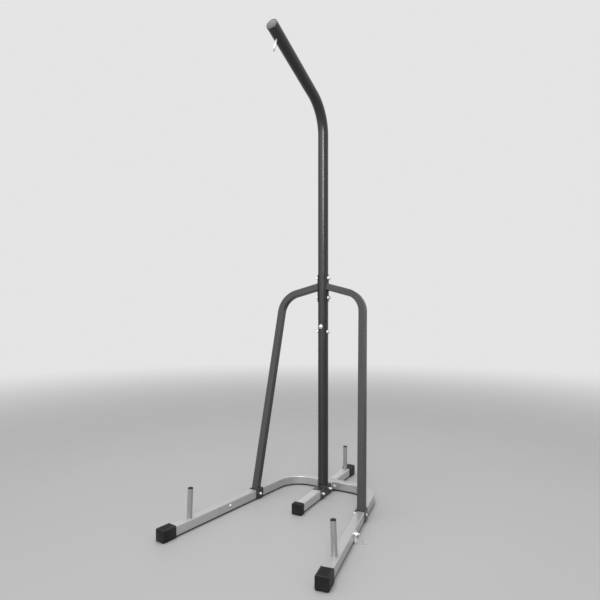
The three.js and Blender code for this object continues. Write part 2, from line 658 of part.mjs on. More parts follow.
// ---------------------------------------------------------------- floor brackets
// An angle on the outside of each leg: a web with one bolt, and a foot flat on the floor.
function addAnchor(side) {
  const face = BASE_TUBE / 2 + GAP;
  const half = ANCHOR_WIDTH / 2;
  const round = ANCHOR_CORNER;
  const webOutline = new THREE.Shape();
  webOutline.moveTo(-half, 0);
  webOutline.lineTo(half, 0);
  webOutline.absarc(half - round, ANCHOR_WEB_TOP - round, round, 0, Math.PI / 2);
  webOutline.absarc(round - half, ANCHOR_WEB_TOP - round, round, Math.PI / 2, Math.PI);
  webOutline.closePath();
  const footOutline = new THREE.Shape();
  footOutline.moveTo(0, half);
  footOutline.lineTo(0, -half);
  footOutline.absarc(ANCHOR_FOOT - round, round - half, round, -Math.PI / 2, 0);
  footOutline.absarc(ANCHOR_FOOT - round, half - round, round, 0, Math.PI / 2);
  footOutline.closePath();
  const screwHole = new THREE.Path();
  screwHole.absarc(ANCHOR_HOLE_OUT, 0, ANCHOR_HOLE_RADIUS, 0, 2 * Math.PI);
  footOutline.holes.push(screwHole);
  const sheet = { curveSegments: 6, depth: SHEET, bevelEnabled: false };
  // In the bracket's own frame x points away from the leg and z up.
  const web = new THREE.ExtrudeGeometry(webOutline, sheet).rotateX(Math.PI / 2)
    .rotateZ(Math.PI / 2);
  const foot = new THREE.ExtrudeGeometry(footOutline, sheet);
  const drillPoint = new THREE.Vector3(0, 0, ANCHOR_BOLT_HEIGHT);
  const angle = cut(join(web, foot), [drill(drillPoint, X_AXIS, 4 * SHEET)]);
  const outwards = acrossLeg(side);
  const basis = new THREE.Matrix4().makeBasis(outwards, Z_AXIS.clone().cross(outwards), Z_AXIS);
  const origin = anchorPoint(side).setZ(0).addScaledVector(outwards, face);
  addNode(`anchor_bracket_${sideName(side)}`, angle.applyMatrix4(basis.setPosition(origin)), zinc);

  const headSeat = anchorPoint(side).addScaledVector(outwards, -BASE_TUBE / 2);
  const grip = BASE_TUBE + SHEET + 2 * GAP;
  addBolt(`anchor_${sideName(side)}`, headSeat, outwards, grip, BASE_HEAD, ANCHOR_TAIL);
}

// ---------------------------------------------------------------- build
addBaseFrame();
addCentreTubes();
addCaps();
addPegs();
addSaddles();
addMast();
addBoomPlug();
addEyeBolt();
addStruts();
[-1, 1].forEach(addAnchor);

export default stand;
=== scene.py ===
"""Free-standing heavy bag stand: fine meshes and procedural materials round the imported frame."""
import json
import math

import bmesh
import bpy
from mathutils import Matrix, Vector, noise


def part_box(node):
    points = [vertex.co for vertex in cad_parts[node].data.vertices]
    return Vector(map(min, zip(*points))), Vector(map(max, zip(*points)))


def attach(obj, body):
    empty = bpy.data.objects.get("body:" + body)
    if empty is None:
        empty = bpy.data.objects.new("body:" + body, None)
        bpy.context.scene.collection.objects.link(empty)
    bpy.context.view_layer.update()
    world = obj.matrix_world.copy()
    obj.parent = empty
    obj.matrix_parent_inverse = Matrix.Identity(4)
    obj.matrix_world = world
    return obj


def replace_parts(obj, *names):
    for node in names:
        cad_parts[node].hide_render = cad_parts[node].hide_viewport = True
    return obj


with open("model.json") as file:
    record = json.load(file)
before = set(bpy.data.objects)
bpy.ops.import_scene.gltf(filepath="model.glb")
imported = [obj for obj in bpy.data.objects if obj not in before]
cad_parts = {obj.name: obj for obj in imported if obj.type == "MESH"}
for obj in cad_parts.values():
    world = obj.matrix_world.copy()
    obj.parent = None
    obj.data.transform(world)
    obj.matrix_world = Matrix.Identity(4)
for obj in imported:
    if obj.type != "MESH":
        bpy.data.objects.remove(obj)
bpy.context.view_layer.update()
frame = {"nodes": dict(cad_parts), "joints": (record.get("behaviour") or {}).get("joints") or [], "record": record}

# ------------------------------------------------------------------ sizes, in metres
MM = 0.001
GAP = 0.3 * MM                      # clearance between touching pieces
TUBE = 40 * MM                      # square tube of the base
TUBE_WALL = 2 * MM
TUBE_CORNER = 4 * MM
SPLAY = math.radians(8)             # each leg opens outwards to the front
BOW_RADIUS = 135 * MM
CAP_WALL = 4.7 * MM
CAP_FLOOR = 5 * MM
MAST_WALL = 2 * MM
SHEET = 3 * MM                      # saddles, flange, clamp plates and floor brackets
BOOM_RISE = math.radians(19.6)
BOOM_CORNER_HEIGHT = 1904 * MM      # where the boom's axis would meet the mast's axis
BOOM_REACH = 486 * MM
BOOM_BEND_RADIUS = 170 * MM
STRUT = 32 * MM                     # square tube of the side supports
STRUT_CORNER = 2.5 * MM
STRUT_WALL = 2 * MM
STRUT_BEND_RADIUS = 105 * MM
STRUT_FOOT = Vector((274, -187, 0)) * MM          # from the mast axis, at the saddle's top
STRUT_SHOULDER = Vector((215, -16, 981.5)) * MM   # from the mast axis, height above the floor
STRUT_HEAD_HEIGHT = 1031 * MM
PLATE_HALF_ANGLE = math.radians(50)
PEG_RADIUS = 11 * MM
PEG_WALL = 2 * MM
PEG_LEAN = math.radians(2.5)
BOLT_RADIUS = 4 * MM
BASE_HEAD = (7 * MM, 4.5 * MM)      # radius and height of the round heads
MAST_HEAD = (9.5 * MM, 6 * MM)
SOCKET_FLATS = 5 * MM               # hexagon socket in a bolt's head
SOCKET_DEPTH = 2.6 * MM
NUT_FLATS = 13 * MM
NUT_HEIGHT = 7 * MM
BASE_TAIL = 3 * MM                  # thread that shows past a nut
MAST_TAIL = 1 * MM
ANCHOR_TAIL = 7 * MM
BOLT_HOLE = 4.3 * MM
CURVED_WASHER = 10.5 * MM           # washers hollowed to the mast, under its bolts' heads
MAST_WASHER = 3 * MM
PLATE_WASHER = 5 * MM
THREAD_PITCH = 1.25 * MM
EYE_RING = 9.5 * MM                 # ring of the eye bolt, to the middle of its wire
EYE_WIRE = 3.25 * MM
EYE_TURN = math.radians(35)         # ring's plane, turned about the shank from the mast
EYE_HOLE = 6 * MM
ANCHOR_WIDTH = 34 * MM
ANCHOR_FOOT = 50 * MM
ANCHOR_TOP = 41 * MM
ANCHOR_HOLE_OUT = 33 * MM
ANCHOR_HOLE = 4.5 * MM
ANCHOR_CORNER = 7 * MM

# ------------------------------------------------------------------ places, from the frame
X, Y, Z = Vector((1, 0, 0)), Vector((0, 1, 0)), Vector((0, 0, 1))


def middle(node):
    """The centre of a CAD node's box."""
    low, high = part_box(node)
    return (low + high) / 2


MAST_LOW, MAST_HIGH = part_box("mast_lower")
MAST_RADIUS = (MAST_HIGH.x - MAST_LOW.x) / 2
MAST_Y = (MAST_LOW.y + MAST_HIGH.y) / 2
SEAM = MAST_HIGH.z
SADDLE_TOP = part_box("saddle_mast")[1].z
TUBE_AXIS = middle("nose_tube").z
TUBE_TOP = TUBE_AXIS + TUBE / 2
BASE_LOW, BASE_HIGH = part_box("base_frame")
BOW_Y = BASE_HIGH.y - TUBE / 2
LEG_END = Vector((
    BASE_HIGH.x - TUBE / 2 * math.cos(SPLAY), BASE_LOW.y + TUBE / 2 * math.sin(SPLAY), TUBE_AXIS))
PLATE_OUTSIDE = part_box("clamp_plate_right")[1].x
JOINTS = {joint["name"]: joint for joint in frame["joints"]}
BODY_OF = {n: body for body, nodes in frame["record"]["behaviour"]["bodies"].items() for n in nodes}
SLOT_OF = {part["node"]: part["material_slot"] for part in frame["record"]["subparts"]}


def on_leg(side, y):
    """A point of a leg's axis; side is -1 for the left leg and 1 for the right one."""
    return Vector((side * (LEG_END.x + (LEG_END.y - y) * math.tan(SPLAY)), y, TUBE_AXIS))


def across_leg(side):
    """The sideways direction across a leg, away from the centre plane."""
    return Vector((side * math.cos(SPLAY), math.sin(SPLAY), 0))


def side_name(side):
    return "left" if side < 0 else "right"


# ------------------------------------------------------------------ meshes from loops
CORNER_STEPS = 6                    # facets in a quarter turn of an outline


def loft(loops, ring=False):
    """A closed mesh through loops of equally many points. A ring's last loop meets its first."""
    mesh = bmesh.new()
    rows = [[mesh.verts.new(point) for point in loop] for loop in loops]
    count = len(rows[0])
    pairs = list(zip(rows, rows[1:] + rows[:1])) if ring else list(zip(rows, rows[1:]))
    for row, after in pairs:
        for i in range(count):
            j = (i + 1) % count
            mesh.faces.new((row[i], row[j], after[j], after[i]))
    if not ring:
        mesh.faces.new(rows[0][::-1])
        mesh.faces.new(rows[-1])
    bmesh.ops.remove_doubles(mesh, verts=mesh.verts, dist=1e-7)
    bmesh.ops.recalc_face_normals(mesh, faces=mesh.faces)
    return mesh


def circle(radius, count):
    return [(radius * math.cos(2 * math.pi * i / count), radius * math.sin(2 * math.pi * i / count))
            for i in range(count)]


def turned(profile, count=48, ring=False):
    """A solid turned about Z from (radius, height) points."""
    return loft([[(x, y, height) for x, y in circle(radius, count)] for radius, height in profile],
                ring)


def arc(centre, radius, start, end, steps):
    """Points of an arc, with angles in degrees."""
    angles = [math.radians(start + (end - start) * k / steps) for k in range(steps + 1)]
    return [(centre[0] + radius * math.cos(a), centre[1] + radius * math.sin(a)) for a in angles]


def rounded_square(side, corner, inset):
    """The outline of a square with round corners, drawn in by an inset."""
    radius = max(corner - inset, 0.2 * MM)
    reach = side / 2 - inset - radius
    quarters = [(reach, reach, 0), (-reach, reach, 90), (-reach, -reach, 180), (reach, -reach, 270)]
    return [point for x, y, start in quarters
            for point in arc((x, y), radius, start, start + 90, CORNER_STEPS)]


def hexagon(flats):
    radius = flats / 2 / math.cos(math.pi / 6)
    return [(radius * math.cos(k * math.pi / 3), radius * math.sin(k * math.pi / 3)) for k in range(6)]


def bent_path(corners, radius, step=math.radians(3)):
    """(point, tangent) stations along straight runs that true arcs join."""
    stations = []
    for i, corner in enumerate(corners):
        if i == 0:
            stations.append((corner, (corners[1] - corner).normalized()))
        elif i == len(corners) - 1:
            stations.append((corner, (corner - corners[i - 1]).normalized()))
        else:
            stations += bend(corners[i - 1], corner, corners[i + 1], radius, step)
    return stations


def bend(before, corner, after, radius, step):
    back = (before - corner).normalized()
    ahead = (after - corner).normalized()
    half = back.angle(ahead) / 2
    centre = corner + (back + ahead).normalized() * (radius / math.sin(half))
    start = corner + back * (radius / math.tan(half)) - centre
    turn = math.pi - 2 * half
    count = math.ceil(turn / step)
    stations = []
    for k in range(count + 1):
        angle = turn * k / count
        point = centre + start * math.cos(angle) - back * (radius * math.sin(angle))
        stations.append((point, -back * math.cos(angle) - start * (math.sin(angle) / radius)))
    return stations


def with_stops(stations, stops):
    """Adds stations on the straight runs, at the given distances from the path's start."""
    result = [stations[0]]
    travelled = 0.0
    for (point, tangent), (after, after_tangent) in zip(stations, stations[1:]):
        length = (after - point).length
        straight = tangent.angle(after_tangent, 0) < 1e-4
        inner = [s for s in stops if travelled < s < travelled + length] if straight else []
        result += [(point.lerp(after, (s - travelled) / length), tangent) for s in sorted(inner)]
        result.append((after, after_tangent))
        travelled += length
    return result


def tube(stations, normal, outer, inner, chamfer=0.5 * MM):
    """A tube along stations. outer(inset) and inner(inset) give outlines; normal is their u axis."""
    stations = with_stops(stations, [chamfer, path_length(stations) - chamfer])
    last = len(stations) - 1

    def row(k, outline):
        point, tangent = stations[k]
        inset = chamfer if k in (0, last) else 0.0
        across = tangent.cross(normal).normalized()
        sign = 1 if outline is outer else -1
        return [point + normal * u + across * v for u, v in outline(sign * inset)]

    outside = [row(k, outer) for k in range(last + 1)]
    inside = [row(k, inner) for k in range(last, -1, -1)]
    return loft(outside + inside, ring=True)


def path_length(stations):
    return sum((b[0] - a[0]).length for a, b in zip(stations, stations[1:]))


def square_outlines(side, wall, corner):
    return (lambda inset: rounded_square(side, corner, inset),
            lambda inset: rounded_square(side - 2 * wall, corner - wall, inset))


def round_outlines(radius, wall, count):
    return (lambda inset: circle(radius - inset, count),
            lambda inset: circle(radius - wall - inset, count))


def folded_sheet(outside, inside, halves):
    """A sheet from two matching lines of points. halves gives its half width and its direction."""
    return loft([[o - h, o + h, i + h, i - h] for o, i, h in zip(outside, inside, halves)])


def along(point, direction, level=None):
    """The matrix that takes +Z to a direction and the origin to a point."""
    forward = direction.normalized()
    side = (level or (X if abs(forward.z) > 0.9 else Z)).cross(forward).normalized()
    turn = Matrix((side, forward.cross(side), forward)).transposed()
    return Matrix.Translation(point) @ turn.to_4x4()


def moved(mesh, matrix):
    bmesh.ops.transform(mesh, matrix=matrix, verts=mesh.verts)
    return mesh


# ------------------------------------------------------------------ finished pieces
BEVEL_ANGLE = math.radians(32)      # edges at least this sharp are bevelled
BEVEL_SEGMENTS = 2
SHARP_ANGLE = math.radians(38)      # edges at least this sharp are shaded as hard


def hidden_object(mesh):
    data = bpy.data.meshes.new("tool")
    mesh.to_mesh(data)
    return bpy.data.objects.new("tool", data)


def boolean(mesh, tools, operation="DIFFERENCE"):
    """Cuts a mesh by tools, or joins them to it."""
    body = hidden_object(mesh)
    bpy.context.scene.collection.objects.link(body)
    others = [hidden_object(tool) for tool in tools]
    for other in others:
        bpy.context.scene.collection.objects.link(other)
        modifier = body.modifiers.new("cut", "BOOLEAN")
        modifier.operation = operation
        modifier.solver = "EXACT"
        modifier.object = other
    result = bmesh.new()
    result.from_mesh(evaluated_mesh(body))
    for item in [body, *others]:
        bpy.data.objects.remove(item)
    return result


def evaluated_mesh(item):
    bpy.context.view_layer.update()
    return bpy.data.meshes.new_from_object(item.evaluated_get(bpy.context.evaluated_depsgraph_get()))


def smooth(item, bevel):
    """Bevels the hard edges, then shades smoothly with flat faces kept flat."""
    if bevel:
        modifier = item.modifiers.new("edges", "BEVEL")
        modifier.width = bevel
        modifier.segments = BEVEL_SEGMENTS
        modifier.limit_method = "ANGLE"
        modifier.angle_limit = BEVEL_ANGLE
        modifier.use_clamp_overlap = True
    item.data = evaluated_mesh(item)
    item.modifiers.clear()
    mesh = bmesh.new()
    mesh.from_mesh(item.data)
    for face in mesh.faces:
        face.smooth = True
    for edge in mesh.edges:
        edge.smooth = len(edge.link_faces) != 2 or edge.calc_face_angle(0) < SHARP_ANGLE
    mesh.to_mesh(item.data)
    mesh.free()
    modifier = item.modifiers.new("normals", "WEIGHTED_NORMAL")
    modifier.keep_sharp = True
    item.data = evaluated_mesh(item)
    item.modifiers.clear()


def piece(name, mesh, body, slot, bevel=0.0, material=None):
    """A visible piece that rides on a body and wears a slot's material."""
    data = bpy.data.meshes.new(name)
    mesh.to_mesh(data)
    mesh.free()
    item = bpy.data.objects.new(name, data)
    bpy.context.scene.collection.objects.link(item)
    smooth(item, bevel)
    item.data.name = name
    item.data.materials.clear()
    item.data.materials.append(material or MATERIALS[slot])
    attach(item, body)
    return item


def stands_for(node, mesh, bevel=0.0, material=None):
    """The fine piece that replaces a CAD node, on the node's body and in its slot."""
    fine = piece(f"fine_{node}", mesh, BODY_OF[node], SLOT_OF[node], bevel, material)
    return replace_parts(fine, node)


# ------------------------------------------------------------------ materials
def map_range(nodes, links, value, start, end, interpolation="LINEAR"):
    """Maps a node output from one range to another; the result is a node output too."""
    node = nodes.new("ShaderNodeMapRange")
    node.interpolation_type = interpolation
    for name, number in zip(("From Min", "From Max", "To Min", "To Max"), (*start, *end)):
        node.inputs[name].default_value = number
    links.new(value, node.inputs["Value"])
    return node.outputs["Result"]


class Look:
    """A Principled material with short calls for its procedural nodes, in object coordinates."""

    def __init__(self, name, metallic, specular=0.5):
        self.material = bpy.data.materials.new(name)
        self.material.use_nodes = True
        self.nodes = self.material.node_tree.nodes
        self.links = self.material.node_tree.links
        self.shader = self.nodes["Principled BSDF"]
        self.shader.inputs["Metallic"].default_value = metallic
        self.shader.inputs["Specular IOR Level"].default_value = specular
        self.place = self.nodes.new("ShaderNodeTexCoord").outputs["Object"]

    def link(self, output, target):
        self.links.new(output, target)

    def noise(self, scale, detail):
        texture = self.nodes.new("ShaderNodeTexNoise")
        texture.inputs["Scale"].default_value = scale
        texture.inputs["Detail"].default_value = detail
        self.link(self.place, texture.inputs["Vector"])
        return texture.outputs["Fac"]

    def cells(self, scale):
        texture = self.nodes.new("ShaderNodeTexVoronoi")
        texture.inputs["Scale"].default_value = scale
        self.link(self.place, texture.inputs["Vector"])
        return texture.outputs["Color"]

    def spread(self, value, low, high, to_low, to_high):
        """Maps a value's range to another range."""
        return map_range(self.nodes, self.links, value, (low, high), (to_low, to_high))

    def mix(self, factor, first, second):
        """Mixes two colours; each is a colour or another node's output."""
        node = self.nodes.new("ShaderNodeMix")
        node.data_type = "RGBA"
        # A mix node's sockets 0, 6 and 7 are the factor and the two colours, and its output 2 a colour.
        for value, index in ((factor, 0), (first, 6), (second, 7)):
            socket = node.inputs[index]
            if isinstance(value, bpy.types.NodeSocket):
                self.link(value, socket)
            else:
                socket.default_value = (*value, 1)
        return node.outputs[2]

    def edges(self, low, high):
        """0 on flat faces and in corners, 1 on worn outer edges."""
        geometry = self.nodes.new("ShaderNodeNewGeometry")
        return self.spread(geometry.outputs["Pointiness"], low, high, 0, 1)

    def bump(self, height, strength, distance):
        node = self.nodes.new("ShaderNodeBump")
        node.inputs["Strength"].default_value = strength
        node.inputs["Distance"].default_value = distance
        self.link(height, node.inputs["Height"])
        self.link(node.outputs["Normal"], self.shader.inputs["Normal"])

    def set(self, colour, roughness):
        self.link(colour, self.shader.inputs["Base Color"])
        self.link(roughness, self.shader.inputs["Roughness"])


def powder_coat(name, dark, light, metallic, specular, rough, worn):
    """Powder coat: slight mottling, fine flake, uneven gloss, and a lighter rub along the edges."""
    look = Look(name, metallic, specular)
    mottled = look.mix(look.noise(9, 4), dark, light)
    flaked = look.mix(look.spread(look.noise(2600, 1), 0.35, 0.65, 0, 0.1), mottled, worn)
    look.set(look.mix(look.edges(0.53, 0.62), flaked, worn),
             look.spread(look.noise(26, 2), 0.2, 0.8, rough - 0.06, rough + 0.08))
    return look.material


def rubber_look():
    """Moulded rubber: finely grained, with random dust, and a lighter colour on sharp edges and groove crests."""
    look = Look("rubber", 0.0, 0.22)
    base = look.mix(look.noise(40, 5), (0.004, 0.004, 0.0041), (0.008, 0.008, 0.0082))
    dust = look.spread(look.noise(220, 4), 0.5, 0.75, 0, 0.25)
    dusty = look.mix(dust, base, (0.02, 0.0198, 0.0194))
    look.set(look.mix(look.edges(0.52, 0.66), dusty, (0.04, 0.04, 0.041)),
             look.spread(look.noise(90, 3), 0.3, 0.7, 0.42, 0.6))
    look.bump(look.noise(1500, 2), 0.2, 0.08 * MM)
    return look.material


def moulded_plastic(name, dark, light, rough):
    """Injection moulded plastic with a fine spark-eroded grain."""
    look = Look(name, 0.0, 0.45)
    look.set(look.mix(look.noise(35, 4), dark, light),
             look.spread(look.noise(160, 3), 0.3, 0.7, rough - 0.06, rough + 0.07))
    look.bump(look.noise(1900, 2), 0.3, 0.06 * MM)
    return look.material


def zinc_look():
    """Bright zinc plate on steel: faint crystals, small stains and a fine grain."""
    look = Look("bright_zinc", 1.0)
    facets = look.spread(look.cells(900), 0, 1, 0, 0.35)
    crystals = look.mix(facets, (0.74, 0.745, 0.75), (0.88, 0.88, 0.885))
    stains = look.spread(look.noise(300, 5), 0.55, 0.72, 0, 0.4)
    stained = look.mix(stains, crystals, (0.5, 0.495, 0.49))
    look.set(look.mix(look.edges(0.53, 0.65), stained, (0.85, 0.85, 0.855)),
             look.spread(look.noise(420, 4), 0.3, 0.7, 0.32, 0.46))
    look.bump(look.noise(1100, 3), 0.15, 0.08 * MM)
    return look.material


MATERIALS = {
    "silver_paint": powder_coat("silver_powder_coat", (0.38, 0.381, 0.384), (0.43, 0.431, 0.434),
                                0.65, 0.5, 0.32, (0.56, 0.56, 0.565)),
    "black_paint": powder_coat("black_powder_coat", (0.009, 0.009, 0.0092), (0.012, 0.012, 0.0123),
                               0.0, 0.55, 0.28, (0.03, 0.03, 0.0305)),
    "rubber": rubber_look(),
    "grey_plastic": moulded_plastic("grey_plastic", (0.02, 0.02, 0.0202), (0.027, 0.027, 0.0273),
                                    0.5),
    "zinc": zinc_look(),
}
# Painted shade: a darker copy of the silver powder coat for the pegs and their welds, though they wear the same
# paint as the frame.
SHADED_PEG_COAT = powder_coat("silver_peg_coat_painted_shade", (0.24, 0.241, 0.243), (0.28, 0.281, 0.283),
                        0.65, 0.5, 0.32, (0.4, 0.4, 0.405))
NYLON = moulded_plastic("nylon_insert", (0.5, 0.5, 0.49), (0.62, 0.62, 0.6), 0.5)


# ------------------------------------------------------------------ base
def make_base():
    outer, inner = square_outlines(TUBE, TUBE_WALL, TUBE_CORNER)
    bow = [on_leg(side, BOW_Y) for side in (-1, 1)]
    ends = [Vector((side * LEG_END.x, LEG_END.y, TUBE_AXIS)) for side in (-1, 1)]
    path = bent_path([ends[0], bow[0], bow[1], ends[1]], BOW_RADIUS)
    stands_for("base_frame", tube(path, Z, outer, inner))
    for node in ("nose_tube", "tail_tube"):
        low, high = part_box(node)
        ends = [Vector((0, y, TUBE_AXIS)) for y in (low.y, high.y)]
        stands_for(node, tube(bent_path(ends, 0), Z, outer, inner))


def make_flange():
    low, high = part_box("nose_flange")
    corner = 5 * MM
    half = (high - low) / 2
    outline = []
    for right, up, start in ((1, 1, 0), (-1, 1, 90), (-1, -1, 180), (1, -1, 270)):
        x, z = right * half.x, up * half.z
        centre = (x - math.copysign(corner, x), z - math.copysign(corner, z))
        outline += arc(centre, corner, start, start + 90, CORNER_STEPS)
    loops = [[Vector((x, y, TUBE_AXIS + z)) for x, z in outline] for y in (low.y, high.y)]
    stands_for("nose_flange", loft(loops), bevel=0.5 * MM)


# ------------------------------------------------------------------ rubber caps
CAP_GROOVES = 7
GROOVE_DEPTH = 2.6 * MM
GROOVE_STEPS = 8                    # points across one groove
CAP_EDGE = 3 * MM                   # rounding of a cap's closed end


def cap_outline(side, corner, inset, depth):
    """A rounded square whose top and bottom carry lengthwise grooves."""
    plain = rounded_square(side, corner, inset)
    pitch = (side - 2 * corner) / CAP_GROOVES
    level = side / 2 - inset

    def grooves(sign):
        points = []
        for k in range(1, CAP_GROOVES * GROOVE_STEPS):
            v = -(side / 2 - corner) + pitch * k / GROOVE_STEPS
            dip = (0.5 - 0.5 * math.cos(2 * math.pi * k / GROOVE_STEPS)) ** 1.5
            points.append((sign * (level - depth * dip), sign * v))
        return points

    # u is the height, so the top lies between the last corner and the first one.
    half = len(plain) // 2
    return plain[:half] + grooves(-1)[::-1] + plain[half:] + grooves(1)


def make_cap(node, inwards):
    """A sleeve cap. inwards points from its closed end along the tube."""
    low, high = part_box(node)
    side = high.z - low.z
    centre = (low + high) / 2
    # The box of a turned cap is wider than the cap, so its length is worked out from both sides.
    spread = abs(inwards.x) * side
    length = ((high.y - low.y) - spread) / abs(inwards.y)
    corner = TUBE_CORNER + CAP_WALL / 2
    start = centre - inwards * (length / 2)
    hole = TUBE + 2 * GAP
    rounding = [(CAP_EDGE * (1 - math.cos(a)), CAP_EDGE * (1 - math.sin(a)))
                for a in (math.radians(15 * k) for k in range(7))]
    outside = [(travel, inset, 0.0) for travel, inset in rounding]
    outside += [(CAP_EDGE + 1.5 * MM, 0.0, 0.0), (CAP_EDGE + 5 * MM, 0.0, GROOVE_DEPTH),
                (length - 0.6 * MM, 0.0, GROOVE_DEPTH), (length, 0.6 * MM, GROOVE_DEPTH)]
    across = inwards.cross(Z).normalized()
    plan = [(travel, cap_outline(side, corner, inset, depth)) for travel, inset, depth in outside]
    for travel, inset in ((length, -0.5 * MM), (length - 0.5 * MM, 0.0), (CAP_FLOOR, 0.0)):
        plan.append((travel, cap_outline(hole, TUBE_CORNER, inset, 0.0)))
    loops = [[start + inwards * travel + Z * u + across * v for u, v in outline]
             for travel, outline in plan]
    stands_for(node, loft(loops))


# ------------------------------------------------------------------ plate pegs
def make_peg(node, foot, lean):
    """A round peg with a plug whose head covers the tube's end."""
    direction = Vector((math.sin(lean), 0, math.cos(lean)))
    seat = (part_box(node)[1].z - foot.z - PEG_RADIUS * math.sin(abs(lean))) / math.cos(lean)
    outer, inner = round_outlines(PEG_RADIUS, PEG_WALL, 48)
    start = foot + direction * (GAP + PEG_RADIUS * math.sin(abs(lean)))
    stations = bent_path([start, foot + direction * seat], 0)
    # The peg wears the darker copy of the silver coat: painted shade.
    stands_for(node, tube(stations, Y, outer, inner, 0.4 * MM), material=SHADED_PEG_COAT)
    head, stem = 3 * MM, 14 * MM
    stem_radius = PEG_RADIUS - PEG_WALL - GAP
    dish = 0.7 * MM                 # the head's top is slightly hollow inside its rim
    profile = [(0, -stem), (stem_radius - MM, -stem), (stem_radius, -stem + MM), (stem_radius, 0),
               (PEG_RADIUS, 0)]
    profile += arc((PEG_RADIUS - 1.2 * MM, head - 1.2 * MM), 1.2 * MM, 0, 110, 6)
    profile += [(PEG_RADIUS - 3 * MM, head - dish), (0, head - dish)]
    plug = turned(profile)
    stands_for(f"{node}_plug", moved(plug, along(foot + direction * (seat + GAP), direction)))


def make_pegs():
    for side in (-1, 1):
        node = f"peg_{side_name(side)}"
        low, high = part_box(node)
        foot = on_leg(side, (low.y + high.y) / 2)
        foot.z = TUBE_TOP
        make_peg(node, foot, -side * PEG_LEAN)
        # Its weld wears the darker copy too: painted shade that dims the weld's highlight.
        weld_ring(f"weld_{node}", foot, PEG_RADIUS, "silver_paint", material=SHADED_PEG_COAT)
    tail = middle("peg_tail")
    tail.z = TUBE_TOP
    make_peg("peg_tail", tail, 0.0)
    # Painted shade on the tail peg's weld as well.
    weld_ring("weld_peg_tail", tail, PEG_RADIUS, "silver_paint", material=SHADED_PEG_COAT)


# ------------------------------------------------------------------ welds
WELD_PITCH = 0.55 * MM              # between the loops of a bead
WELD_SIDES = 10
RIPPLE_LOOPS = 6                    # loops in one ripple


def weld(name, path, radius, slot, material=None):
    """A weld bead: a row of overlapping ripples along a closed path, half sunk in the metal."""
    loops = []
    for i, point in enumerate(path):
        tangent = (path[(i + 1) % len(path)] - path[i - 1]).normalized()
        helper = Z if abs(tangent.z) < 0.9 else X
        u = tangent.cross(helper).normalized()
        v = tangent.cross(u)
        ripple = 1 + 0.1 * math.sin(i * 2 * math.pi / RIPPLE_LOOPS) + 0.16 * noise.noise(point * 260)
        loops.append([point + (u * a + v * b) * ripple for a, b in circle(radius, WELD_SIDES)])
    piece(name, loft(loops, ring=True), "stand", slot, material=material)


def walk(corners):
    """Evenly spaced points along a closed line of corners."""
    points = []
    for a, b in zip(corners, corners[1:] + corners[:1]):
        steps = max(1, round((b - a).length / WELD_PITCH))
        points += [a.lerp(b, k / steps) for k in range(steps)]
    return points


def weld_ring(name, centre, radius, slot, bead=1.0 * MM, material=None):
    corners = [centre + Vector((x, y, 0.3 * MM)) for x, y in circle(radius + 0.5 * bead, 40)]
    weld(name, walk(corners), bead, slot, material=material)


# ------------------------------------------------------------------ saddles
def make_saddle(node, turn, length):
    """A channel folded over a base tube, with round bends and round lower corners."""
    centre = middle(node)
    low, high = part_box(node)
    inside = TUBE / 2 + GAP
    fold = 1.5 * MM                 # inner bend radius
    corner = 6 * MM
    bottom, top = low.z, high.z
    half = length / 2

    def half_line(offset):
        """One cheek and half the top, at a distance from the inner face."""
        face = inside + offset
        radius = fold + offset
        bend_centre = (face - radius, top - SHEET + offset - radius)
        cheek = [(face, bottom + corner * (1 - math.cos(math.radians(15 * k)))) for k in range(7)]
        return cheek + arc(bend_centre, radius, 0, 90, 6)

    outside, inner = half_line(SHEET), half_line(0.0)
    halves = [half - corner * (1 - math.sin(math.radians(15 * k))) for k in range(7)] + [half] * 7
    place = Matrix.Translation((centre.x, centre.y, 0)) @ Matrix.Rotation(turn, 4, "Z")

    def whole(line):
        both = [Vector((x, 0, z)) for x, z in line] + [Vector((-x, 0, z)) for x, z in reversed(line)]
        return [place @ point for point in both]

    direction = place.to_3x3() @ Y
    widths = [direction * h for h in halves + halves[::-1]]
    stands_for(node, folded_sheet(whole(outside), whole(inner), widths), bevel=0.5 * MM)


def make_saddles():
    leg_length, mast_length = 48 * MM, 114 * MM
    for side in (-1, 1):
        make_saddle(f"saddle_{side_name(side)}", side * SPLAY, leg_length)
    make_saddle("saddle_mast", 0.0, mast_length)


# ------------------------------------------------------------------ mast and boom
def eye_line():
    joint = JOINTS["eye_swivel"]
    return Vector(joint["pos_m"]), Vector(joint["axis"])


def make_mast():
    outer, inner = round_outlines(MAST_RADIUS, MAST_WALL, 72)
    lower = [Vector((0, MAST_Y, z)) for z in (MAST_LOW.z, SEAM)]
    stands_for("mast_lower", tube(bent_path(lower, 0), X, outer, inner, 1.3 * MM))

    rise = BOOM_REACH * math.tan(BOOM_RISE)
    corners = [Vector((0, MAST_Y, SEAM + GAP)), Vector((0, MAST_Y, BOOM_CORNER_HEIGHT)),
               Vector((0, MAST_Y - BOOM_REACH, BOOM_CORNER_HEIGHT + rise))]
    stations = bent_path(corners, BOOM_BEND_RADIUS, math.radians(2))
    total = path_length(stations)
    axis_point, down = eye_line()
    eye_back = (corners[-1] - axis_point).length
    stops = [total - eye_back + 2.5 * MM * k for k in range(-6, 7)]
    mast = tube(with_stops(stations, stops), X, outer, inner, 1.3 * MM)
    span = MAST_RADIUS * 1.5
    drill = moved(turned([(EYE_HOLE, -span), (EYE_HOLE, span)], 40), along(axis_point, down))
    stands_for("mast_upper", boolean(mast, [drill]))
    weld_ring("weld_mast_foot", Vector((0, MAST_Y, SADDLE_TOP)), MAST_RADIUS, "black_paint", 2 * MM)
    return corners[-1], (corners[-1] - corners[-2]).normalized()


